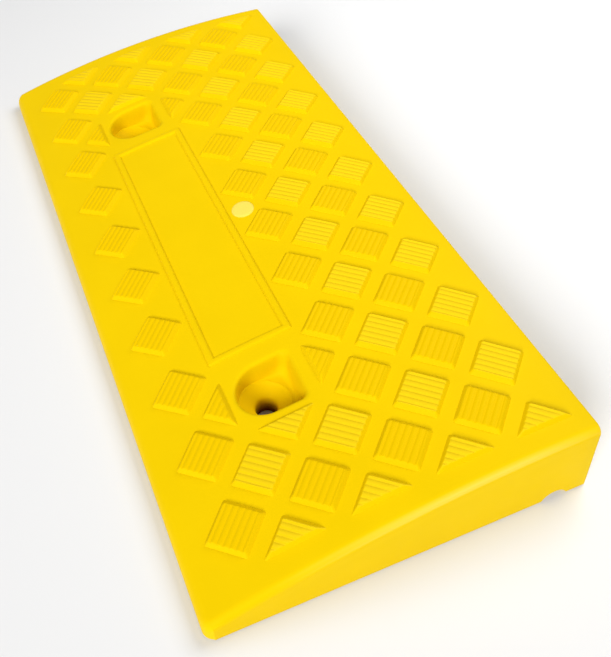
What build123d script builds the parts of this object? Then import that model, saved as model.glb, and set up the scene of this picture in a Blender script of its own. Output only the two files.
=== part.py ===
from build123d import *
import os
from math import asin, cos, floor, radians, sin, sqrt, tan

# Plastic kerb ramp: one hollow, ribbed moulding that stands on rubber grip pads.
# Millimetres. X runs along the kerb, Y from the toe to the kerb, Z is up.
# The origin is on the ground under the middle of the ramp.

# Moulding, outside
length = 500.0
width = 220.0
kerb_height = 46.5
toe_height = 10.7
end_draft = 5.3
toe_round = 7.0
end_bevel = 3.2
kerb_bevel = 1.0

# Moulding, walls and underside ribs
side_wall = 4.0
deck_wall = 4.0
rib_thickness = 2.5
cross_rib_pitch = 40.0
cross_rib_to_end = 30.0
long_rib_pitch = 38.0
long_rib_to_toe = 20.0

# Ribbed square lugs, standing on their corners in staggered rows
lug_side = 25.3
lug_height = 2.5
lug_draft = 40.0
lug_pitch = 46.5
lug_field_to_end = 17.0
first_lug_row_to_toe = 31.2
last_lug_row_to_kerb = 20.0
lug_rib_count = 7
lug_groove_depth = 0.6
lug_groove_angle = 90.0
lug_sink = 0.8
least_lug_share = 0.3

# Raised frame of the panel
panel_line_to_toe = 78.0
frame_to_bare_pad = 6.75
frame_width = 52.5
frame_band = 4.8
frame_height = 1.2

# Bolt pockets: a deep well with a level seat, a countersink and a through hole
bolt_spacing = 280.0
bolt_line_to_toe = 75.0
pocket_width = 31.2
pocket_square_reach = 2.0
pocket_corner_round = 2.5
pocket_draft = 5.0
pocket_rim_bevel = 2.5
seat_below_toe_lip = 10.2
seat_ledge = 0.5
countersink_depth = 5.8
bolt_hole_diameter = 13.0
pocket_wall = 4.0
bare_pad_length = 46.0
bare_pad_width = 49.5

# Mark of the moulding gate
gate_diameter = 15.0
gate_height = 0.8
gate_to_frame = 10.25

# Rain channel along the kerb
channel_width = 16.0
channel_height = 5.0
channel_to_kerb = 21.0
channel_to_tray = 2.0

# Rubber grip pads and their trays under the rib crossings
pad_proud = 1.0
pad_length = 34.0
pad_width = 16.0
pad_groove_count = 3
pad_groove_width = 1.6
pad_groove_depth = 0.7
tray_depth = 4.0
tray_clearance = 0.25
tray_wall = 2.5
cross_ribs_per_pad = 2

# Worked out from the sizes above
base_z = pad_proud
toe_y = -width / 2
kerb_y = width / 2
panel_y = toe_y + panel_line_to_toe
frame_length = bolt_spacing - bare_pad_length - 2 * frame_to_bare_pad
bolt_xs = (-bolt_spacing / 2, bolt_spacing / 2)
bolt_y = toe_y + bolt_line_to_toe
countersink_diameter = pocket_width - 2 * seat_ledge
deck_drop = kerb_height - toe_height
deck_radius = (width**2 + deck_drop**2) / (2 * deck_drop)
deck_centre_z = base_z + kerb_height - deck_radius
above_all = base_z + kerb_height + 4 * lug_height
channel_y = kerb_y - channel_to_kerb
lugs_in_first_row = floor((length - 2 * lug_field_to_end) / lug_pitch)
lug_row_count = 1 + floor((width - first_lug_row_to_toe - last_lug_row_to_kerb) / (lug_pitch / 2))


def deck_z(y, rise=0.0):
    """Height of the deck at y, or of a surface that lies rise above it."""
    return deck_centre_z + sqrt((deck_radius + rise) ** 2 - (kerb_y - y) ** 2)


def deck_plane(y):
    """Plane that touches the deck at y, above the middle of the ramp."""
    lean = asin((kerb_y - y) / deck_radius)
    return Plane(origin=(0, y, deck_z(y)), x_dir=(1, 0, 0), z_dir=(0, -sin(lean), cos(lean)))


def wedge(inset, rise):
    """Ramp-shaped block with drafted ends, set in from the sides and with its deck raised."""
    low_y = toe_y + inset
    high_y = kerb_y - inset
    mid_y = (low_y + high_y) / 2
    low_top = (low_y, deck_z(low_y, rise))
    mid_top = (mid_y, deck_z(mid_y, rise))
    high_top = (high_y, deck_z(high_y, rise))
    outline = Polyline(low_top, (low_y, base_z), (high_y, base_z), high_top)
    outline += ThreePointArc(high_top, mid_top, low_top)
    side_view = make_face(Plane.YZ * outline)

    half = length / 2 - inset
    half_top = half - (above_all - base_z) * tan(radians(end_draft))
    end_view = Polygon(
        (-half, base_z), (half, base_z), (half_top, above_all), (-half_top, above_all), align=None
    )
    return extrude(side_view, half, both=True) & extrude(Plane.XZ * end_view, width, both=True)


def outside():
    """Outer block of the moulding with its round toe and its bevelled ends and kerb face."""
    block = wedge(0, 0)
    toe_edge = block.edges().filter_by(Axis.X).group_by(Axis.Y)[0].sort_by(Axis.Z)[-1]
    block = fillet(toe_edge, toe_round)
    end_faces = [block.faces().sort_by(Axis.X)[0], block.faces().sort_by(Axis.X)[-1]]
    end_edges = [
        edge
        for face in end_faces
        for edge in face.edges()
        if edge.center().Z > base_z and edge.center().Y < kerb_y
    ]
    block = chamfer(end_edges, end_bevel)
    kerb_edges = block.faces().sort_by(Axis.Y)[-1].edges()
    return chamfer([edge for edge in kerb_edges if edge.center().Z > base_z], kerb_bevel)


def cross_rib_xs():
    """Places of the ribs that run from toe to kerb."""
    each_side = floor((length / 2 - cross_rib_to_end) / cross_rib_pitch)
    return [cross_rib_pitch * i for i in range(-each_side, each_side + 1)]


def long_rib_ys():
    """Places of the ribs along the kerb, from the toe up; the last carries the pads beside the channel."""
    tray_edge_y = channel_y - channel_width / 2 - channel_to_tray
    last_y = tray_edge_y - tray_wall - tray_clearance - pad_width / 2
    spare = floor((last_y - toe_y - long_rib_to_toe) / long_rib_pitch)
    return [last_y - long_rib_pitch * i for i in reversed(range(spare + 1))]


def pad_places():
    """Centre of each grip pad by name, on rib crossings along the toe and along the kerb."""
    rows = {"toe": long_rib_ys()[0], "kerb": long_rib_ys()[-1]}
    xs = cross_rib_xs()[::cross_ribs_per_pad]
    return {f"grip_pad_{row}_{i + 1}": (x, y) for row, y in rows.items() for i, x in enumerate(xs)}


def pad_outline(grow=0.0):
    """Grip pad from above, or the outline that lies grow outside it."""
    return Rectangle(pad_length + 2 * grow, pad_width + 2 * grow)


def on_ground(radius, low_z, high_z):
    """Upright cylinder between two heights."""
    return Pos(0, 0, low_z) * Cylinder(
        radius, high_z - low_z, align=(Align.CENTER, Align.CENTER, Align.MIN)
    )


# Heights, from the ground
tray_roof_z = base_z + tray_depth
seat_z = deck_z(bolt_y - pocket_width / 2) - seat_below_toe_lip
countersink_bottom_z = seat_z - countersink_depth


def pocket_outline(grow=0.0):
    """Pocket from above: round towards the toe, square towards the kerb."""
    half = pocket_width / 2 + grow
    kerb_side = half + pocket_square_reach
    outline = Circle(half) + Pos(0, kerb_side / 2) * Rectangle(2 * half, kerb_side)
    square_corners = outline.vertices().group_by(Axis.Y)[-1]
    return fillet(square_corners, pocket_corner_round + grow)


def pocket_tub():
    """Outer skin below one pocket: tub, cone and tube down to the ground side of the moulding."""
    cone_radius = countersink_diameter / 2 + pocket_wall
    tube_radius = bolt_hole_diameter / 2 + pocket_wall
    seat_under_z = seat_z - pocket_wall
    tub = extrude(Pos(0, 0, seat_under_z) * pocket_outline(pocket_wall), above_all - seat_under_z)
    cone = Pos(0, 0, countersink_bottom_z - pocket_wall) * Cone(
        tube_radius, cone_radius, seat_z - countersink_bottom_z, align=(Align.CENTER, Align.CENTER, Align.MIN)
    )
    return tub + cone + on_ground(tube_radius, base_z, seat_under_z)


def pocket_space():
    """Space of one pocket above its seat, wider towards the top."""
    return extrude(Pos(0, 0, seat_z) * pocket_outline(), above_all - seat_z, taper=-pocket_draft)


def bolt_space():
    """Space of one countersink and its bolt hole."""
    countersink = Pos(0, 0, countersink_bottom_z) * Cone(
        bolt_hole_diameter / 2,
        countersink_diameter / 2,
        countersink_depth,
        align=(Align.CENTER, Align.CENTER, Align.MIN),
    )
    return countersink + on_ground(bolt_hole_diameter / 2, 0, seat_z)


def underside_cells():
    """Hollows between the underside ribs, clear of the pad trays and the bolt pockets."""
    hollow = wedge(side_wall, -deck_wall)
    cross_rib = Box(rib_thickness, width, above_all, align=(Align.CENTER, Align.CENTER, Align.MIN))
    long_rib = Box(length, rib_thickness, above_all, align=(Align.CENTER, Align.CENTER, Align.MIN))
    ribs = [Pos(x, 0, 0) * cross_rib for x in cross_rib_xs()]
    ribs += [Pos(0, y, 0) * long_rib for y in long_rib_ys()]
    tray = extrude(Pos(0, 0, base_z) * pad_outline(tray_clearance + tray_wall), tray_depth + tray_wall)
    trays = [Pos(x, y, 0) * tray for x, y in pad_places().values()]
    tubs = [Pos(x, bolt_y, 0) * pocket_tub() for x in bolt_xs]
    return hollow - (ribs + trays + tubs)


def lug_places():
    """Row, X and Y of each place in the staggered lattice; odd rows end in half lugs."""
    for row in range(lug_row_count):
        count = lugs_in_first_row + row % 2
        for i in range(count):
            yield row, lug_pitch * (i - (count - 1) / 2), toe_y + first_lug_row_to_toe + row * lug_pitch / 2


def lug_groove():
    """One V groove between two ribs of a lug, along X, open at the top."""
    half_open = 2 * lug_groove_depth * tan(radians(lug_groove_angle / 2))
    section = Polygon(
        (0, -lug_groove_depth), (half_open, lug_groove_depth), (-half_open, lug_groove_depth), align=None
    )
    return extrude(Plane.YZ * section, lug_side, both=True)


def drafted_block(long_side, short_side, draft):
    """Block on the deck plane, its root sunk below it, with sides that lean in by the draft or out."""
    sunk = 2 * lug_sink * tan(radians(draft))
    outline = Pos(0, 0, -lug_sink) * Rectangle(long_side + sunk, short_side + sunk)
    return extrude(outline, lug_sink + lug_height, taper=draft)


def lug(row, x, y):
    """One lug at its place, cut at the field's end and beside a bolt pad, or None if too little is left."""
    square = Rot(0, 0, 45) * Rectangle(lug_side, lug_side)
    frame_seen = Pos(-x, panel_y - y) * Rectangle(frame_length, frame_width)
    if (square & frame_seen).area > 0:
        return None
    field_length = lug_pitch * lugs_in_first_row
    in_field = square & Pos(-x, 0) * Rectangle(field_length, width)
    bare_pads = [Pos(bolt_x - x, panel_y - y) for bolt_x in bolt_xs]
    outline = in_field - [place * Rectangle(bare_pad_length, bare_pad_width) for place in bare_pads]
    if outline.area < least_lug_share * square.area:
        return None

    block = Rot(0, 0, 45) * drafted_block(lug_side, lug_side, lug_draft)
    if in_field.area < square.area:
        block &= Pos(-x, 0) * drafted_block(field_length, width, lug_draft)
    beside_pad = outline.area < in_field.area
    if beside_pad:
        block -= [place * drafted_block(bare_pad_length, bare_pad_width, -lug_draft) for place in bare_pads]
    turn = 45 if (row % 2) != beside_pad else -45
    pitch = lug_side / lug_rib_count
    groove_ys = [pitch * (i - lug_rib_count / 2) for i in range(1, lug_rib_count)]
    block -= [Rot(0, 0, turn) * Pos(0, groove_y, lug_height) * lug_groove() for groove_y in groove_ys]
    return Pos(x, 0, 0) * deck_plane(y) * block


def panel_frame():
    """Raised band round the bare panel, following the deck."""
    band = Rectangle(frame_length, frame_width) - Rectangle(
        frame_length - 2 * frame_band, frame_width - 2 * frame_band
    )
    deck_skin = wedge(0, frame_height) - wedge(0, -lug_sink)
    return extrude(Pos(0, panel_y, base_z) * band, above_all - base_z) & deck_skin


def gate_mark():
    """Low disc left by the gate of the mould."""
    place = deck_plane(panel_y + frame_width / 2 + gate_to_frame)
    return place * Cylinder(gate_diameter / 2, 2 * gate_height)


def rain_channel():
    """Arched notch low along the kerb, through both ends and the cross ribs."""
    left = (channel_y - channel_width / 2, base_z)
    right = (channel_y + channel_width / 2, base_z)
    outline = Polyline(right, (right[0], 0), (left[0], 0), left)
    outline += ThreePointArc(left, (channel_y, base_z + channel_height), right)
    return extrude(Plane.YZ * make_face(outline), length, both=True)


def ramp_moulding():
    """The whole moulding: shell and ribs, then what stands on the deck, then the holes."""
    block = outside()
    for x in bolt_xs:
        pocket = Pos(x, bolt_y, 0) * pocket_space()
        pierced = block - pocket
        block = chamfer(new_edges(block, pocket, combined=pierced), pocket_rim_bevel)
    shell = block - underside_cells()
    raised = [lug(*place) for place in lug_places()]
    raised = [piece for piece in raised if piece is not None]
    shell += raised + [panel_frame(), gate_mark()]
    cuts = [Pos(x, bolt_y, 0) * bolt_space() for x in bolt_xs]
    tray_space = extrude(pad_outline(tray_clearance), tray_roof_z)
    cuts += [Pos(x, y, 0) * tray_space for x, y in pad_places().values()]
    return shell - (cuts + [rain_channel()])


def grip_pad():
    """Rubber block with grip grooves across its underside."""
    pitch = pad_length / (pad_groove_count + 1)
    groove = Box(pad_groove_width, pad_width, 2 * pad_groove_depth)
    groove_xs = [pitch * (i - (pad_groove_count - 1) / 2) for i in range(pad_groove_count)]
    return extrude(pad_outline(), tray_roof_z) - [Pos(x, 0, 0) * groove for x in groove_xs]


nodes = {"ramp_moulding": ramp_moulding()}
for name, (x, y) in pad_places().items():
    nodes[name] = Pos(x, y, 0) * grip_pad()

os.makedirs("parts", exist_ok=True)
for name, solid in nodes.items():
    export_step(solid, f"parts/{name}.step")
    print(name, "volume", round(solid.volume), "box", solid.bounding_box().size)
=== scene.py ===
from math import asin, cos, pi, radians, sin, sqrt, tan

import bmesh
import bpy
from mathutils import Matrix, Vector


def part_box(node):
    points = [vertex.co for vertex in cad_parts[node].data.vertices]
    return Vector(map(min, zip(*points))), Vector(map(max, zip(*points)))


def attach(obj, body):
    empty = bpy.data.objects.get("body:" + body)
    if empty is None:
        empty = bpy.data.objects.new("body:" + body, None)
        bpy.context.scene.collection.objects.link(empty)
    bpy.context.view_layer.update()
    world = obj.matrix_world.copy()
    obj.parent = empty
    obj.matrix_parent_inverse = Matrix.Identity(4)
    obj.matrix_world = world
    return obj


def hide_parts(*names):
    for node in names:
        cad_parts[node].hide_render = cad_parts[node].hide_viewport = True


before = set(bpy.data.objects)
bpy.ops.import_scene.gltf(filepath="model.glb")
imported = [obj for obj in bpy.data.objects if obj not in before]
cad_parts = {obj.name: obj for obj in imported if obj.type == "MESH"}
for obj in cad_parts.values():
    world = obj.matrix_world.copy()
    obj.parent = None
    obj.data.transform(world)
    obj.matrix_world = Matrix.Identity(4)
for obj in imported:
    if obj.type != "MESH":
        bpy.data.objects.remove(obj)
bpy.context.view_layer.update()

# Outside of the shell: one hollow block of yellow plastic, moulded with leaning ends, a round toe and a
# deck that curves up to the kerb. Its cross-sections from toe to kerb are drawn first, in millimetres.
mm = 0.001
low, high = (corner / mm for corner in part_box("ramp_moulding"))
half_length, base_z = high.x, low.z
toe_y, kerb_y = low.y, high.y
kerb_height, toe_height = 46.5, 10.7
end_lean = radians(5.3)
end_round, toe_round, toe_corner_round, kerb_round = 5.0, 7.0, 7.0, 1.2
deck_drop = kerb_height - toe_height
deck_radius = ((kerb_y - toe_y) ** 2 + deck_drop**2) / (2 * deck_drop)
deck_axis_z = base_z + kerb_height - deck_radius


def deck_z(y, rise=0.0):
    """Height of the deck, or of a surface that lies rise above it."""
    return deck_axis_z + sqrt((deck_radius + rise) ** 2 - (kerb_y - y) ** 2)


def spread(start, stop, steps):
    """Evenly spaced values from start up to, but not including, stop."""
    return [start + (stop - start) * i / steps for i in range(steps)]


# Columns of the deck's grid; they lie closer together in the square windows where the bolt pockets go.
bolt_x, bolt_y = 140.0, -35.0
window_half, window_steps = 26.0, 24
last_column_to_end = 20.0
deck_xs = spread(0, bolt_x - window_half, 5)[1:]
deck_xs += [bolt_x + x for x in spread(-window_half, window_half, window_steps)]
deck_xs += spread(bolt_x + window_half, half_length - last_column_to_end, 3)
deck_xs = [-x for x in reversed(deck_xs)] + [0.0] + deck_xs

# Each station is a place along Y with the height of the deck there and how far the ends are set in.
toe_arc_y = toe_y + toe_round
toe_arc_z = deck_z(toe_arc_y, -toe_round)
toe_arc_end = pi / 2 + asin((kerb_y - toe_arc_y) / (deck_radius - toe_round))
stations = []
for angle in spread(pi, toe_arc_end, 10):
    depth = toe_round * (1 + cos(angle))
    short = max(toe_corner_round - depth, 0)
    inset = toe_corner_round - sqrt(toe_corner_round**2 - short**2)
    stations.append((toe_y + depth, toe_arc_z + toe_round * sin(angle), inset))
first_deck_y = toe_arc_y + toe_round * cos(toe_arc_end)
deck_ys = spread(first_deck_y, bolt_y - window_half, 7)
deck_ys += spread(bolt_y - window_half, bolt_y + window_half, window_steps)
deck_ys += spread(bolt_y + window_half, kerb_y - kerb_round, 16)
stations += [(y, deck_z(y), 0.0) for y in deck_ys]
for angle in spread(0, pi / 2, 5) + [pi / 2]:
    y = kerb_y - kerb_round * (1 - sin(angle))
    drop = kerb_round * (1 - cos(angle))
    stations.append((y, deck_z(y) - drop, drop))

# Narrow faces beside the round edges keep the flat faces flat when they are shaded.
wall_hold, deck_hold = 0.8, 1.0


def end_edge(top_z, inset):
    """X and Z along one end of a cross-section, from the ground up the wall and round to the deck."""
    arc_z = top_z - end_round
    arc_x = half_length - inset - (arc_z - base_z) * tan(end_lean) - end_round / cos(end_lean)
    turns = spread(end_lean, pi / 2, 9)
    arc = [(arc_x + end_round * cos(turn), arc_z + end_round * sin(turn)) for turn in turns]
    below_arc = (arc[0][0] + wall_hold * sin(end_lean), arc[0][1] - wall_hold * cos(end_lean))
    return [(half_length - inset, base_z), below_arc] + arc + [(arc_x, top_z), (arc_x - deck_hold, top_z)]


shell_mesh = bmesh.new()
rows = []
for y, top_z, inset in stations:
    edge = end_edge(top_z, inset)
    section = [(-x, z) for x, z in edge] + [(x, top_z) for x in deck_xs] + list(reversed(edge))
    rows.append([shell_mesh.verts.new((x, y, z)) for x, z in section])
edge_count = len(edge)


def in_window(row, column):
    """Whether a quad of the grid lies where a bolt pocket is let into the deck."""
    middle = (rows[row][column].co + rows[row + 1][column + 1].co) / 2
    return abs(abs(middle.x) - bolt_x) < window_half and abs(middle.y - bolt_y) < window_half


for row, (lower, upper) in enumerate(zip(rows, rows[1:])):
    for column in range(len(lower) - 1):
        if not in_window(row, column):
            shell_mesh.faces.new((lower[column], lower[column + 1], upper[column + 1], upper[column]))
end_caps = [shell_mesh.faces.new(list(reversed(rows[0]))), shell_mesh.faces.new(rows[-1])]
shell_mesh.faces.new([row[0] for row in rows] + [row[-1] for row in reversed(rows)])
shell_mesh.normal_update()
bmesh.ops.inset_region(shell_mesh, faces=end_caps, thickness=wall_hold, use_even_offset=True)

# Bolt pockets: each is a deep well with a soft rim, a level seat, a countersink and a hole for an anchor
# bolt. Rings of points run from the window in the deck down to the hole; the mouth is round to the toe.
pocket_half, pocket_square_reach, pocket_corner = 15.6, 2.0, 5.2
pocket_lean, pocket_rim, seat_drop = radians(5), 2.8, 10.2
least_fillet, extra_fillet, fillet_growth = 0.4, 4.4, 0.8
seat_z = deck_z(bolt_y - pocket_half) - seat_drop
countersink_radius, countersink_depth, hole_radius, drawn_depth = 15.1, 5.8, 6.5, 12.0
ring_count = 4 * window_steps
quarter_ring, third = window_steps, window_steps // 3


def pocket_point(i, grow=0.0):
    """Point i of the pocket's outline, grown outwards: side, corner and top to the kerb, then the round."""
    half = pocket_half + grow
    reach = half + pocket_square_reach
    straight, flat = reach - pocket_corner, half - pocket_corner
    if i >= 2 * quarter_ring:
        turn = 2 * pi * i / ring_count
        return half * cos(turn), half * sin(turn)
    if i > quarter_ring:
        x, y = pocket_point(2 * quarter_ring - i, grow)
        return -x, y
    if i < third:
        return half, straight * i / third
    if i < 2 * third:
        turn = pi / 2 * (i - third) / third
        return flat + pocket_corner * cos(turn), straight + pocket_corner * sin(turn)
    return flat * (quarter_ring - i) / third, reach


def blend(a, b, share):
    """Point that lies a share of the way from a to b."""
    return tuple(p + (q - p) * share for p, q in zip(a, b))


# Radius and depth below the seat down the countersink, with its upper and lower edges rounded.
cone_lean = (countersink_radius - hole_radius) / countersink_depth
cone_depths = [0.7, 1.8, 3.0, 4.2]
seat_edge = [(0.0, 0.0), (0.3, 0.1), (0.75, 0.35)]
hole_edge = [(1.35, 5.0), (0.6, 5.7), (0.16, 6.6), (0.0, 7.7), (0.0, drawn_depth)]
countersink = [(countersink_radius - inset, depth) for inset, depth in seat_edge]
countersink += [(countersink_radius - depth * cone_lean, depth) for depth in cone_depths]
countersink += [(hole_radius + inset, depth) for inset, depth in hole_edge]
wall_shares = [0.2, 0.45, 0.7, 0.9]


def pocket_column(i, edge_point):
    """Points from the window's edge down to the bolt hole, all on one line of the pocket's rings."""
    foot = Vector(pocket_point(i))
    wall = deck_z(bolt_y + foot.y) - seat_z
    fillet = least_fillet + min(fillet_growth * max(foot.length - pocket_half, 0), extra_fillet)
    wall_grow = wall * tan(pocket_lean)
    rim_edge = pocket_point(i, wall_grow + pocket_rim)
    points = []
    for share in (1 / 3, 2 / 3):
        x, y = blend(edge_point, rim_edge, share)
        points.append((x, y, deck_z(bolt_y + y)))
    for turn in spread(0, pi / 2, 8):
        x, y = pocket_point(i, wall_grow + pocket_rim * (1 - sin(turn)))
        points.append((x, y, deck_z(bolt_y + y) - pocket_rim * (1 - cos(turn))))
    wall_top = points[-1][2]
    for share in wall_shares:
        z = wall_top + (seat_z + fillet - wall_top) * share
        points.append((*pocket_point(i, (z - seat_z) * tan(pocket_lean)), z))
    for turn in spread(0, pi / 2, 4) + [pi / 2]:
        points.append((*pocket_point(i, -fillet * (1 - cos(turn))), seat_z + fillet * (1 - sin(turn))))

    direction = 2 * pi * i / ring_count
    cone = [(r * cos(direction), r * sin(direction), seat_z - depth) for r, depth in countersink]
    points.append(blend(points[-1], cone[0], 0.5))
    return points + cone


def window_point(i):
    """Point i of the window's edge, from the middle of its +X side round by the kerb."""
    side, step = divmod((i + window_steps // 2) % ring_count, window_steps)
    along = window_half * (2 * step / window_steps - 1)
    return [(window_half, along), (-along, window_half), (-window_half, -along), (along, -window_half)][side]


deck_points = {(round(v.co.x, 3), round(v.co.y, 3)): v for row in rows for v in row[edge_count:-edge_count]}
edge_points = [window_point(i) for i in range(ring_count)]
columns = [pocket_column(i, edge_points[i]) for i in range(ring_count)]
for side in (-1, 1):
    ring = [deck_points[round(side * bolt_x + x, 3), round(bolt_y + y, 3)] for x, y in edge_points]
    for level in zip(*columns):
        inner = [shell_mesh.verts.new((side * bolt_x + x, bolt_y + y, z)) for x, y, z in level]
        for i in range(ring_count):
            j = (i + 1) % ring_count
            shell_mesh.faces.new((ring[i], ring[j], inner[j], inner[i]))
        ring = inner
    shell_mesh.faces.new(ring)


def make_piece(name, mesh):
    """Turns a mesh drawn in millimetres into an object in metres."""
    bmesh.ops.recalc_face_normals(mesh, faces=mesh.faces)
    mesh.transform(Matrix.Scale(mm, 4))
    data = bpy.data.meshes.new(name)
    mesh.to_mesh(data)
    mesh.free()
    piece = bpy.data.objects.new(name, data)
    bpy.context.scene.collection.objects.link(piece)
    return piece


shell = make_piece("ramp_shell", shell_mesh)

# Underside of the shell: thin ribs cross under the deck, round the tubes of the bolt holes and the trays
# of the grip pads, and a low arch lets rain run along the kerb. It is cut out of the block.
side_wall, deck_wall, rib_half, cell_corner, cross_rib_pitch = 4.0, 4.0, 1.25, 2.0, 40.0
cross_rib_xs = [cross_rib_pitch * i for i in range(-5, 6)]
long_rib_ys = [-83.75, -45.75, -7.75, 30.25, 68.25]
cell_lean = tan(radians(0.5))


def loft(mesh, loops):
    """Closes a stack of loops with the same number of points into a solid."""
    rings = [[mesh.verts.new(point) for point in loop] for loop in loops]
    for lower, upper in zip(rings, rings[1:]):
        for i in range(len(lower)):
            j = (i + 1) % len(lower)
            mesh.faces.new((lower[i], lower[j], upper[j], upper[i]))
    mesh.faces.new(list(reversed(rings[0])))
    mesh.faces.new(rings[-1])


def rounded_box(x0, x1, y0, y1, corner, steps=4):
    """Points round a rectangle with round corners."""
    points = []
    for quarter, (x, y) in enumerate(((x1, y1), (x0, y1), (x0, y0), (x1, y0))):
        middle_x = x - corner if x == x1 else x + corner
        middle_y = y - corner if y == y1 else y + corner
        for angle in spread(quarter * pi / 2, (quarter + 1) * pi / 2, steps) + [(quarter + 1) * pi / 2]:
            points.append((middle_x + corner * cos(angle), middle_y + corner * sin(angle)))
    return points


def wall_x(x, z, inset):
    """X of a point that is kept inside the leaning ends."""
    limit = half_length - inset - max(z - base_z, 0) * tan(end_lean)
    return max(-limit, min(limit, x))


# Each cell is a stack of loops, at a share of the height under the deck and drawn in to round its roof.
cell_levels = [(-0.2, 0.0), (0.0, 0.0), (0.5, 0.0), (0.94, 0.0), (0.98, 0.4), (1.0, 1.6)]
cells_mesh = bmesh.new()
x_edges = [-half_length] + cross_rib_xs + [half_length]
y_edges = [toe_y + side_wall - rib_half] + long_rib_ys + [kerb_y - side_wall + rib_half]
for x0, x1 in zip(x_edges, x_edges[1:]):
    for y0, y1 in zip(y_edges, y_edges[1:]):
        outline = rounded_box(x0 + rib_half, x1 - rib_half, y0 + rib_half, y1 - rib_half, cell_corner)
        middle_x, middle_y = (x0 + x1) / 2, (y0 + y1) / 2
        loops = []
        for share, inset in cell_levels:
            loop = []
            for x, y in outline:
                rise = (deck_z(y, -deck_wall) - base_z) * share
                gather = inset + max(rise, 0) * cell_lean
                x += gather if x < middle_x else -gather
                y += gather if y < middle_y else -gather
                loop.append((wall_x(x, base_z + rise, side_wall + inset), y, base_z + rise))
            loops.append(loop)
        loft(cells_mesh, loops)
cells = make_piece("cells", cells_mesh)

# What stays in the cells: the walls of the trays, and a tube and a tub under each bolt pocket.
overrun, above_deck = 9.0, 30.0
pad_places = [(x, y) for x in cross_rib_xs[::2] for y in (long_rib_ys[0], long_rib_ys[-1])]
pad_length, pad_width, tray_roof_z = 34.0, 16.0, 5.0
tray_clearance, tray_wall, tray_corner, tray_inner_corner = 0.25, 2.5, 1.0, 0.6
pocket_wall, tub_step = 4.0, 0.01


def upright(mesh, outline, bottom, top):
    """Upright solid with the same outline from bottom to top."""
    loft(mesh, [[(x, y, z) for x, y in outline] for z in (bottom, top)])


def tray_outline(x, y, wall, corner):
    """Outline of the room for a pad, made larger by a wall."""
    half_x, half_y = pad_length / 2 + tray_clearance + wall, pad_width / 2 + tray_clearance + wall
    return rounded_box(x - half_x, x + half_x, y - half_y, y + half_y, corner)


def circle(x, y, radius):
    """Points round a bolt's axis."""
    return [(x + radius * cos(turn), y + radius * sin(turn)) for turn in spread(0, 2 * pi, ring_count)]


tube_radius, tub_radius = hole_radius + pocket_wall, countersink_radius + pocket_wall
cone_foot_z, tub_foot_z = seat_z - countersink_depth - pocket_wall, seat_z - pocket_wall
kept_mesh = bmesh.new()
for x, y in pad_places:
    tray = tray_outline(x, y, tray_wall, tray_corner)
    upright(kept_mesh, tray, base_z - overrun, tray_roof_z + tray_wall)
for side in (-1, 1):
    loops = []
    for radius, z in ((tube_radius, base_z - overrun), (tube_radius, cone_foot_z), (tub_radius, tub_foot_z)):
        loops.append([(x, y, z) for x, y in circle(side * bolt_x, bolt_y, radius)])
    for z in (tub_foot_z + tub_step, seat_z + above_deck):
        outline = [pocket_point(i, pocket_wall) for i in range(ring_count)]
        loops.append([(side * bolt_x + x, bolt_y + y, z) for x, y in outline])
    loft(kept_mesh, loops)
kept = make_piece("kept", kept_mesh)

# Spaces cut last: the room for each pad, the rest of each bolt hole and the arch for rain water.
# The rest of a hole is a hair narrower than the drawn part and reaches a little way into it.
bore_gap, bore_overlap = 0.15, 2.0
bore_radius, bore_depth = hole_radius - bore_gap, drawn_depth - bore_overlap
channel_y, channel_half, channel_height = 89.0, 8.0, 5.0
channel_radius = (channel_half**2 + channel_height**2) / (2 * channel_height)
channel_turn = asin(channel_half / channel_radius)
spaces_mesh = bmesh.new()
for x, y in pad_places:
    upright(spaces_mesh, tray_outline(x, y, 0, tray_inner_corner), base_z - overrun, tray_roof_z)
for side in (-1, 1):
    bore = circle(side * bolt_x, bolt_y, bore_radius)
    upright(spaces_mesh, bore, base_z - overrun, seat_z - bore_depth)
arch = [(channel_y - channel_half, base_z - overrun)]
for angle in spread(-channel_turn, channel_turn, 16) + [channel_turn]:
    z = base_z + channel_height - channel_radius * (1 - cos(angle))
    arch.append((channel_y + channel_radius * sin(angle), z))
arch.append((channel_y + channel_half, base_z - overrun))
channel_end = half_length + overrun
loft(spaces_mesh, [[(x, y, z) for y, z in reversed(arch)] for x in (-channel_end, channel_end)])
spaces = make_piece("spaces", spaces_mesh)


def keep_result(piece):
    """Makes the result of a piece's modifier its plain mesh, and removes the modifier."""
    graph = bpy.context.evaluated_depsgraph_get()
    old, new = piece.data, bpy.data.meshes.new_from_object(piece.evaluated_get(graph))
    piece.modifiers.clear()
    piece.data = new
    bpy.data.meshes.remove(old)


def cut_out(piece, cutter):
    """Takes the cutter's solids out of a piece for good, and removes the cutter."""
    cut = piece.modifiers.new("cut", "BOOLEAN")
    cut.operation, cut.solver, cut.object = "DIFFERENCE", "MANIFOLD", cutter
    keep_result(piece)
    bpy.data.objects.remove(cutter)


cut_out(cells, kept)
cut_out(shell, cells)
cut_out(shell, spaces)
sharp_angle = radians(32)


def finish_piece(piece, material, slot, *nodes):
    """Gives a piece its material and soft shading, and sets it in the frame in place of its CAD nodes."""
    piece.data.materials.clear()
    piece.data.materials.append(material)
    piece.data.shade_smooth()
    piece.data.set_sharp_from_angle(angle=sharp_angle)
    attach(piece, "root")
    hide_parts(*nodes)


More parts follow.
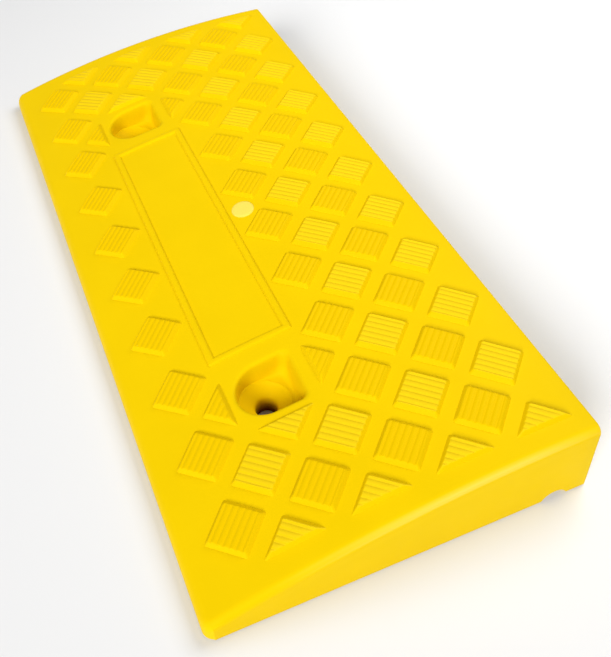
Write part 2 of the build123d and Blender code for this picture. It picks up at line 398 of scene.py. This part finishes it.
class Wire:
    """One socket of a node tree: sums of wires add Math nodes, and node() adds any other node."""

    def __init__(self, tree, socket=None):
        self.tree = tree
        self.socket = socket

    def node(self, kind, settings=None, values=None, out=0):
        made = self.tree.nodes.new(kind)
        for name, value in (settings or {}).items():
            setattr(made, name, value)
        for key, value in (values or {}).items():
            if isinstance(value, Wire):
                self.tree.links.new(value.socket, made.inputs[key])
            else:
                made.inputs[key].default_value = value
        return Wire(self.tree, made.outputs[out])

    def maths(self, operation, *values):
        return self.node("ShaderNodeMath", {"operation": operation}, dict(enumerate(values)))

    def axis(self, name):
        return self.node("ShaderNodeSeparateXYZ", None, {0: self}, out=name)

    def ramp(self, start, end):
        settings = {"interpolation_type": "SMOOTHSTEP"}
        return self.node("ShaderNodeMapRange", settings, {"Value": self, "From Min": start, "From Max": end})

    def mix(self, share, a, b):
        return self.node("ShaderNodeMix", {"data_type": "RGBA"}, {0: share, 6: a, 7: b}, out=2)

    def noise(self, scale, detail):
        return self.node("ShaderNodeTexNoise", None, {"Vector": self, "Scale": scale, "Detail": detail})

    def __add__(self, other):
        return self.maths("ADD", self, other)

    def __sub__(self, other):
        return self.maths("SUBTRACT", self, other)

    def __rsub__(self, other):
        return self.maths("SUBTRACT", other, self)

    def __mul__(self, other):
        return self.maths("MULTIPLY", self, other)

    def __truediv__(self, other):
        return self.maths("DIVIDE", self, other)

    def __abs__(self):
        return self.maths("ABSOLUTE", self)

    __radd__ = __add__
    __rmul__ = __mul__


# Sizes and colours of the painted shade in the bolt holes, the painted highlight on the ends' round edges
# and the painted light and shade on the lug tops.
shade_top_z, shade_full_z, shade_reach, painted_shade_colour = 11.5, 1.0, 0.3, (0.12, 0.01, 0.001, 1)
highlight_width, painted_highlight_colour = 15.0, (0.84, 0.59, 0.01, 1)
highlight_toe_ys, highlight_kerb_ys = (-80 * mm, 20 * mm), (130 * mm, 60 * mm)
highlight_deck_facing, highlight_wall_facing = (0.2, 0.6), (0.99, 0.85)
painted_lug_light_share, painted_lug_top_facing, painted_lug_way_span = 0.7, (0.8, 0.9), 0.2
lit_lug_painted_colour, shaded_lug_painted_colour = (0.795, 0.5525, 0.009, 1), (0.76, 0.485, 0.0005, 1)


def hole_painted_shade(place):
    """Share of painted shade: only inside the bolt holes, and more so the deeper it lies."""
    from_x, from_y = abs(place.axis("X")) - bolt_x * mm, place.axis("Y") - bolt_y * mm
    reach = (hole_radius + shade_reach) * mm
    in_hole = place.maths("LESS_THAN", from_x * from_x + from_y * from_y, reach**2)
    return in_hole * place.axis("Z").ramp(shade_top_z * mm, shade_full_z * mm)


def end_painted_highlight(place, facing):
    """Share of painted highlight along the round edge of both ends, less so towards their corners; the same
    share also gives a real glossy coat there.
    """
    sideways = abs(facing.axis("X"))
    at_end = place.maths("GREATER_THAN", abs(place.axis("X")), (half_length - highlight_width) * mm)
    highlight_on_round = at_end * sideways.ramp(*highlight_deck_facing) * sideways.ramp(*highlight_wall_facing)
    return highlight_on_round * place.axis("Y").ramp(*highlight_toe_ys) * place.axis("Y").ramp(*highlight_kerb_ys)


def plastic(name, colour, pale):
    """Satin moulded plastic, fine grain, faint flow clouds; painted shade in the bolt holes, painted
    highlight on the end edges, painted light and shade on lug tops.
    """
    material = bpy.data.materials.new(name)
    material.use_nodes = True
    shader = material.node_tree.nodes["Principled BSDF"]
    wire = Wire(material.node_tree)
    place = wire.node("ShaderNodeTexCoord", out="Object")
    facing = wire.node("ShaderNodeTexCoord", out="Normal")
    edge_highlight = end_painted_highlight(place, facing)
    tint = wire.mix(place.noise(scale=26.0, detail=3.0), colour, pale)
    # Painted shade darkens the inside of the bolt holes, more towards their foot.
    tint = wire.mix(hole_painted_shade(place), tint, painted_shade_colour)
    # Painted highlight: the round edges of the ends are made paler.
    tint = wire.mix(edge_highlight, tint, painted_highlight_colour)

    # Painted light and shade on the tops of the lugs: paler where the ribs run one way and deeper where they
    # run the other, standing in for how the light falls across their grooves; the sign of X times Y of their
    # run tells which way. The other pieces have no run, so they keep their colour.
    ribs_run = wire.node("ShaderNodeAttribute", {"attribute_name": "along"}, out="Vector")
    painted_light_on_top = painted_lug_light_share * facing.axis("Z").ramp(*painted_lug_top_facing)
    for painted_lug_colour, way in ((lit_lug_painted_colour, 1), (shaded_lug_painted_colour, -1)):
        runs_so = (ribs_run.axis("X") * ribs_run.axis("Y")).ramp(0.0, painted_lug_way_span * way)
        tint = wire.mix(painted_light_on_top * runs_so, tint, painted_lug_colour)

    fine_noise = place.noise(scale=1500.0, detail=2.0)
    grain = {"Height": fine_noise, "Strength": 0.12, "Distance": 0.0002}
    varying = {
        "Base Color": tint,
        "Roughness": 0.38 + 0.14 * place.noise(scale=90.0, detail=4.0),
        "Coat Weight": edge_highlight,
        "Normal": wire.node("ShaderNodeBump", None, grain),
    }
    for socket, value in varying.items():
        material.node_tree.links.new(value.socket, shader.inputs[socket])
    shader.inputs["Coat Roughness"].default_value = 0.3
    shader.inputs["Coat IOR"].default_value = 1.8
    shader.inputs["IOR"].default_value = 1.49
    shader.inputs["Specular IOR Level"].default_value = 0.04
    shader.inputs["Specular Tint"].default_value = (1.0, 0.78, 0.15, 1)
    return material


yellow = plastic("yellow plastic", (0.75, 0.505, 0.001, 1), (0.81, 0.55, 0.0015, 1))
finish_piece(shell, yellow, "yellow_plastic", "ramp_moulding")

# Ribbed lugs: low squares of the same plastic, standing on their corners in staggered rows, each with
# seven ribs to give wheels and shoes a grip. They are moulded with the deck, and cut short at its ends
# and beside the bolts.
lug_side, lug_height, lug_lean, lug_pitch = 25.3, 2.5, radians(40), 46.5
lug_ribs, lug_corner, lug_skirt, whole = 7, 2.4, 0.35, 1000.0
lug_rows, lugs_in_first_row, first_row_to_toe = 8, 10, 31.2
field_half, panel_y = 5 * lug_pitch, -32.0
frame_half_x, frame_half_y = 110.25, 26.25
bare_half_x, bare_half_y = 23.0, 24.75

# A lug this close to the line of a bolt, of the panel or of the field's end counts as standing on it.
line_up = 1.0


def lug_cut(x, y):
    """Direction in which a lug is cut off and how far from its middle, or None where it is left out."""
    reach = lug_side / sqrt(2)
    if abs(x) > field_half - line_up:
        return (1 if x > 0 else -1, 0), 0.0
    dx, dy = abs(x) - bolt_x, y - panel_y
    if abs(dx) < line_up and abs(dy) < bare_half_y + reach:
        return (0, 1 if dy < 0 else -1), abs(dy) - bare_half_y
    if abs(dy) < line_up and 0 < dx < bare_half_x + reach:
        return (-1 if x > 0 else 1, 0), dx - bare_half_x
    out_x, out_y = max(abs(x) - frame_half_x, 0), max(abs(dy) - frame_half_y, 0)
    return None if out_x + out_y < reach else ((0, 0), whole)


lug_places = []
for row in range(lug_rows):
    y = toe_y + first_row_to_toe + row * lug_pitch / 2
    lugs_in_row = lugs_in_first_row + row % 2
    for i in range(lugs_in_row):
        x = lug_pitch * (i - (lugs_in_row - 1) / 2)
        found = lug_cut(x, y)
        if found is None:
            continue
        (cut_x, cut_y), cut = found
        beside_bolt = cut != whole and abs(x) < field_half - line_up
        slope = 1 if (row % 2 == 1) != beside_bolt else -1
        along, across = Vector((1, slope)).normalized(), Vector((-slope, 1)).normalized()
        away = Vector((cut_x, cut_y))
        along = -along if along.dot(away) < 0 else along
        across = -across if across.dot(away) < 0 else across
        lug_places.append((x, y, along, across, cut * sqrt(2)))

lug_points = bpy.data.meshes.new("lug places")
lug_points.from_pydata([(x * mm, y * mm, 0) for x, y, *_ in lug_places], [], [])
for name in ("place", "along", "across"):
    lug_points.attributes.new(name, "FLOAT_VECTOR", "POINT")
lug_points.attributes.new("cut", "FLOAT", "POINT")
for i, (x, y, along, across, cut) in enumerate(lug_places):
    lean_share = cos(asin((kerb_y - y) / deck_radius))
    lug_points.attributes["place"].data[i].vector = (x * mm, y * mm, 0)
    lug_points.attributes["along"].data[i].vector = (along.x, along.y * lean_share, 0)
    lug_points.attributes["across"].data[i].vector = (across.x, across.y * lean_share, 0)
    lug_points.attributes["cut"].data[i].value = cut * mm
lugs = bpy.data.objects.new("ribbed_lugs", lug_points)
bpy.context.scene.collection.objects.link(lugs)

# A flat net of lines, close together at the lug's walls and grooves, is raised into each lug: u runs
# along its ribs and v across them.
net_half = lug_side / 2 + lug_skirt
rib_pitch = lug_side / lug_ribs
wall_lines = [0, 0.35, 0.8, 1.3, 1.8, 2.15, 2.45, 2.75, 3.1]
top_lines = [4.5, 8.5]
groove_lines = [-1.2, -0.8, -0.4, 0, 0.4, 0.8, 1.2]
us = [net_half - line for line in wall_lines + top_lines]
us = sorted([-u for u in us] + [0.0] + us)
vs = [net_half - line for line in wall_lines]
groove_vs = [rib_pitch * (i - lug_ribs / 2) for i in range(1, lug_ribs)]
vs = sorted([-v for v in vs] + [v + line for v in groove_vs for line in groove_lines] + vs)
net_faces = []
for i in range(len(us) - 1):
    for j in range(len(vs) - 1):
        first = i * len(vs) + j
        net_faces.append((first, first + len(vs), first + len(vs) + 1, first + 1))
net = bpy.data.meshes.new("lug net")
net.from_pydata([(u * mm, v * mm, 0) for u in us for v in vs], [], net_faces)
lug_net = bpy.data.objects.new("lug net", net)
bpy.context.scene.collection.objects.link(lug_net)

lug_sizes = {
    "Lug side": lug_side * mm,
    "Lug height": lug_height * mm,
    "Wall lean": tan(lug_lean),
    "Corner round": lug_corner * mm,
    "Skirt": lug_skirt * mm,
    "Rib pitch": rib_pitch * mm,
    "Groove depth": 0.45 * mm,
    "Groove half width": 1.25 * mm,
    "Edge softness": 0.8 * mm,
    "Deck radius": deck_radius * mm,
    "Deck axis Y": kerb_y * mm,
    "Deck axis Z": deck_axis_z * mm,
}


def new_tree(name, sizes, shape):
    """Geometry tree with a named input for each size: its first wire, its inputs and the values to set."""
    tree = bpy.data.node_groups.new(name, "GeometryNodeTree")
    tree.interface.new_socket("Geometry", in_out="OUTPUT", socket_type="NodeSocketGeometry")
    tree.interface.new_socket("Places", in_out="INPUT", socket_type="NodeSocketGeometry")
    settings = {}
    for size, value in {**sizes, "Shape": shape}.items():
        kind = "NodeSocketObject" if size == "Shape" else "NodeSocketFloat"
        item = tree.interface.new_socket(size, in_out="INPUT", socket_type=kind)
        settings[item.identifier] = value
    group = tree.nodes.new("NodeGroupInput")
    return Wire(tree), {socket.name: Wire(tree, socket) for socket in group.outputs if socket.name}, settings


def copies(wire, size):
    """Copies of a tree's shape, one at each of its places, as real meshes."""
    shape = wire.node("GeometryNodeObjectInfo", None, {"Object": size["Shape"]}, out="Geometry")
    placed = wire.node("GeometryNodeInstanceOnPoints", None, {"Points": size["Places"], "Instance": shape})
    return wire.node("GeometryNodeRealizeInstances", None, {"Geometry": placed})


def run_tree(piece, wire, settings, geometry, material):
    """Ends a tree with its material, runs it on a piece and keeps the result."""
    dressed = wire.node("GeometryNodeSetMaterial", None, {"Geometry": geometry, "Material": material})
    output = wire.tree.nodes.new("NodeGroupOutput")
    wire.tree.links.new(dressed.socket, output.inputs["Geometry"])
    modifier = piece.modifiers.new("tree", "NODES")
    modifier.node_group = wire.tree
    for identifier, value in settings.items():
        modifier[identifier] = value
    keep_result(piece)


wire, size, settings = new_tree("ribbed lugs", lug_sizes, lug_net)
real_lugs = copies(wire, size)


def stored(name, kind="FLOAT_VECTOR"):
    """Value that each lug's place carries."""
    return wire.node("GeometryNodeInputNamedAttribute", {"data_type": kind}, {"Name": name})


def vector_maths(operation, a, b):
    """Vector sum, difference or multiple."""
    key = "Scale" if operation == "SCALE" else 1
    return wire.node("ShaderNodeVectorMath", {"operation": operation}, {0: a, key: b})


# Place of each point in its lug; where the lug is cut short, the net is squeezed up to the cut.
local = vector_maths("SUBTRACT", wire.node("GeometryNodeInputPosition"), stored("place"))
u, v = local.axis("X"), local.axis("Y")
cut = stored("cut", "FLOAT")
half = size["Lug side"] / 2
net_reach = half + size["Skirt"]
cut_end = wire.maths("MINIMUM", net_reach, cut + sqrt(2) * size["Skirt"] - v)
run = wire.maths("MAXIMUM", cut_end + net_reach, 0.0)
left_u = wire.maths("MINIMUM", u + net_reach, run / 2) - net_reach
right_u = run - net_reach - wire.maths("MINIMUM", net_reach - u, run / 2)
is_right = wire.maths("GREATER_THAN", u, 0.0)
u = left_u + is_right * (right_u - left_u)

# Height of each point, from how far inside the lug's outline it lies and how far from a groove.
inside = wire.maths("SMOOTH_MIN", half - abs(u), half - abs(v), size["Corner round"])
inside = wire.maths("SMOOTH_MIN", inside, (cut - u - v) / sqrt(2), size["Corner round"])
from_rib = v / size["Rib pitch"]
from_rib = abs(from_rib - wire.maths("ROUND", from_rib))
from_groove = (0.5 - from_rib) * size["Rib pitch"] / size["Groove half width"]
groove_wave = wire.maths("COSINE", pi * wire.maths("MINIMUM", from_groove, 1.0))
ribbed_top = size["Lug height"] - size["Groove depth"] * (0.5 + 0.5 * groove_wave)
rise = wire.maths("SMOOTH_MIN", inside / size["Wall lean"], ribbed_top, size["Edge softness"])

# Each point is turned to its lug's way and raised square to the curved deck.
along_u, across_v = vector_maths("SCALE", stored("along"), u), vector_maths("SCALE", stored("across"), v)
flat = vector_maths("ADD", vector_maths("ADD", along_u, across_v), stored("place"))
lean = (size["Deck axis Y"] - flat.axis("Y")) / size["Deck radius"]
upright_share = wire.maths("SQRT", 1 - lean * lean)
raised_y = flat.axis("Y") - rise * lean
raised_z = size["Deck axis Z"] + (size["Deck radius"] + rise) * upright_share
raised = wire.node("ShaderNodeCombineXYZ", None, {"X": flat.axis("X"), "Y": raised_y, "Z": raised_z})
moved = wire.node("GeometryNodeSetPosition", None, {"Geometry": real_lugs, "Position": raised})
merge_gap, sliver_width = 0.01, 0.002
merged = wire.node("GeometryNodeMergeByDistance", None, {"Geometry": moved, "Distance": merge_gap * mm})
run_tree(lugs, wire, settings, merged, yellow)
bpy.data.objects.remove(lug_net)


def close_below(piece):
    """Closes the open underside of each shape in a piece, and turns all its faces outwards."""
    mesh = bmesh.new()
    mesh.from_mesh(piece.data)
    bmesh.ops.dissolve_degenerate(mesh, edges=mesh.edges, dist=sliver_width * mm)
    bmesh.ops.holes_fill(mesh, edges=[edge for edge in mesh.edges if edge.is_boundary])
    bmesh.ops.recalc_face_normals(mesh, faces=mesh.faces)
    mesh.to_mesh(piece.data)
    mesh.free()


close_below(lugs)
finish_piece(lugs, yellow, "yellow_plastic", "ramp_moulding")

# Raised frame of the panel: a low soft band of the same plastic that follows the deck round a plain panel
# between the bolts. It is moulded with the deck.
band_width, band_height, band_corner, least_corner = 4.8, 1.2, 1.6, 0.3
corner_steps, side_steps = 5, 10
band_edge = [(-0.4, -0.7), (0.0, 0.0), (0.3, 0.55), (0.65, 0.92), (1.1, 1.12), (1.7, band_height)]
band = band_edge + [(band_width - inset, rise) for inset, rise in reversed(band_edge)]


def on_deck(x, y, rise):
    """Point above (x, y) on the deck, moved square to the deck by rise."""
    lean = asin((kerb_y - y) / deck_radius)
    return Vector((x, y - rise * sin(lean), deck_axis_z + (deck_radius + rise) * cos(lean)))


def frame_loop(inset, rise):
    """Points round the frame, set in from its outer edge and raised above the deck."""
    half_x, half_y = frame_half_x - inset, frame_half_y - inset
    corner = max(band_corner - inset, least_corner)
    turns = rounded_box(-half_x, half_x, -half_y, half_y, corner, corner_steps)
    points = []
    for i, point in enumerate(turns):
        points.append(point)
        if i % (corner_steps + 1) == corner_steps:
            following = turns[(i + 1) % len(turns)]
            points += [blend(point, following, step / side_steps) for step in range(1, side_steps)]
    return [on_deck(x, panel_y + y, rise) for x, y in points]


frame_mesh = bmesh.new()
loops = [[frame_mesh.verts.new(point) for point in frame_loop(inset, rise)] for inset, rise in band]
for outer, inner in zip(loops, loops[1:] + loops[:1]):
    for i in range(len(outer)):
        j = (i + 1) % len(outer)
        frame_mesh.faces.new((outer[i], outer[j], inner[j], inner[i]))
panel_frame = make_piece("panel_frame", frame_mesh)
finish_piece(panel_frame, yellow, "yellow_plastic", "ramp_moulding")

# Mark of the moulding gate: a low pale disc in the middle of the deck, where the plastic ran into the
# mould and was trimmed off. Its edge is drawn as shares of its radius and heights above the deck.
gate_y, gate_radius, gate_steps = 4.5, 7.5, 48
gate_edge = [(1.0, -0.6), (1.04, -0.4), (1.0, 0.1), (0.97, 0.45), (0.9, 0.68), (0.8, 0.76), (0.4, 0.8)]
gate_loops = []
for share, rise in gate_edge:
    r = gate_radius * share
    turns = spread(0, 2 * pi, gate_steps)
    gate_loops.append([on_deck(r * cos(turn), gate_y + r * sin(turn), rise) for turn in turns])
gate_mesh = bmesh.new()
loft(gate_mesh, gate_loops)
gate_mark = make_piece("gate_mark", gate_mesh)
pale_yellow = plastic("pale gate plastic", (0.80, 0.62, 0.06, 1), (0.85, 0.70, 0.14, 1))
finish_piece(gate_mark, pale_yellow, "yellow_plastic", "ramp_moulding")

# Rubber grip pads: twelve black blocks pressed into trays under the ribs. They stand a millimetre proud
# of the shell, and grooves across them shed water and grip the road.
pad_grooves, pad_groove_depth, pad_round = 3, 0.7, 0.25
groove_mouth_half, groove_floor_half, longest_groove_edge = 0.8, 0.6, 3.0
groove_pitch = pad_length / (pad_grooves + 1)
outline = [(-pad_length / 2, tray_roof_z), (-pad_length / 2, 0.0)]
for i in range(pad_grooves):
    x = groove_pitch * (i - (pad_grooves - 1) / 2)
    outline += [(x - groove_mouth_half, 0.0), (x - groove_floor_half, pad_groove_depth)]
    outline += [(x + groove_floor_half, pad_groove_depth), (x + groove_mouth_half, 0.0)]
outline += [(pad_length / 2, 0.0), (pad_length / 2, tray_roof_z)]
pad_mesh = bmesh.new()
loft(pad_mesh, [[(x, y, z) for x, z in outline] for y in (-pad_width / 2, pad_width / 2)])
soft_edges = []
for edge in pad_mesh.edges:
    start, end = (vert.co for vert in edge.verts)
    if edge.calc_length() > longest_groove_edge or start.z == end.z:
        soft_edges.append(edge)
bmesh.ops.bevel(pad_mesh, geom=soft_edges, offset=pad_round, segments=2, profile=0.5, affect="EDGES")
pad_shape = make_piece("pad shape", pad_mesh)
pad_points = bpy.data.meshes.new("pad places")
pad_points.from_pydata([(x * mm, y * mm, 0) for x, y in pad_places], [], [])
pads = bpy.data.objects.new("grip_pads", pad_points)
bpy.context.scene.collection.objects.link(pads)

rubber = bpy.data.materials.new("grip rubber")
rubber.use_nodes = True
wire = Wire(rubber.node_tree)
place = wire.node("ShaderNodeTexCoord", out="Object")
dust = place.noise(scale=220.0, detail=5.0)
skin = {"Height": place.noise(scale=1800.0, detail=2.0), "Strength": 0.3, "Distance": 0.0002}
varying = {
    "Base Color": wire.mix(dust, (0.016, 0.016, 0.017, 1), (0.045, 0.044, 0.042, 1)),
    "Roughness": 0.68 + 0.2 * dust,
    "Normal": wire.node("ShaderNodeBump", None, skin),
}
for socket, value in varying.items():
    rubber.node_tree.links.new(value.socket, rubber.node_tree.nodes["Principled BSDF"].inputs[socket])

wire, size, settings = new_tree("grip pads", {}, pad_shape)
run_tree(pads, wire, settings, copies(wire, size), rubber)
bpy.data.objects.remove(pad_shape)
pad_nodes = [f"grip_pad_{row}_{i}" for row in ("toe", "kerb") for i in range(1, 7)]
finish_piece(pads, rubber, "grip_rubber", *pad_nodes)

# Floor, light and camera: a plain pale floor, one large soft light off the near corner of the toe, small
# ones above the kerb and beyond the near end, a faint glow all round, and the photograph's camera.
floor_half = 6000.0
floor_mesh = bmesh.new()
bmesh.ops.create_grid(floor_mesh, x_segments=1, y_segments=1, size=floor_half)
floor = make_piece("floor", floor_mesh)
floor_paint = bpy.data.materials.new("floor paint")
floor_paint.use_nodes = True
floor_paint.node_tree.nodes["Principled BSDF"].inputs["Base Color"].default_value = (0.8, 0.8, 0.8, 1)
floor_paint.node_tree.nodes["Principled BSDF"].inputs["Roughness"].default_value = 0.8
floor.data.materials.append(floor_paint)

world = bpy.data.worlds.new("studio")
bpy.context.scene.world = world
world.use_nodes = True
world.node_tree.nodes["Background"].inputs["Color"].default_value = (1, 1, 1, 1)
world.node_tree.nodes["Background"].inputs["Strength"].default_value = 0.25


def soft_light(name, place, power, width):
    """Square area light that points at the ramp."""
    lamp = bpy.data.lights.new(name, "AREA")
    lamp.energy, lamp.size = power, width
    light = bpy.data.objects.new(name, lamp)
    light.location = place
    light.rotation_euler = Vector(place).to_track_quat("Z", "Y").to_euler()
    bpy.context.scene.collection.objects.link(light)


soft_light("toe light", (3.5, -3.8, 2.95), 360, 2.6)
soft_light("kerb light", (-0.1, 0.55, 0.8), 6.2, 0.6)
soft_light("end light", (1.2, 0.34, 0.47), 0.8, 0.5)

# The camera was fitted to the ramp's edges; its focal length and the picture's height are in pixels.
camera_right = Vector((0.39844, 0.91719, -0.00111))
camera_down = Vector((0.68545, -0.29857, -0.66409))
camera_forward = Vector((-0.60943, 0.26384, -0.74765))
camera_place = Vector((397.1, -121.6, 384.4 + base_z)) * mm
focal_pixels, picture_height, sensor_height = 794.63, 657, 36.0
camera_data = bpy.data.cameras.new("camera")
camera_data.sensor_fit = "VERTICAL"
camera_data.sensor_height = sensor_height
camera_data.lens = focal_pixels * sensor_height / picture_height
camera = bpy.data.objects.new("camera", camera_data)
turn = Matrix((camera_right, -camera_down, -camera_forward)).transposed()
camera.matrix_world = Matrix.Translation(camera_place) @ turn.to_4x4()
bpy.context.scene.collection.objects.link(camera)
bpy.context.scene.camera = camera
bpy.context.scene.view_settings.view_transform = "Standard"
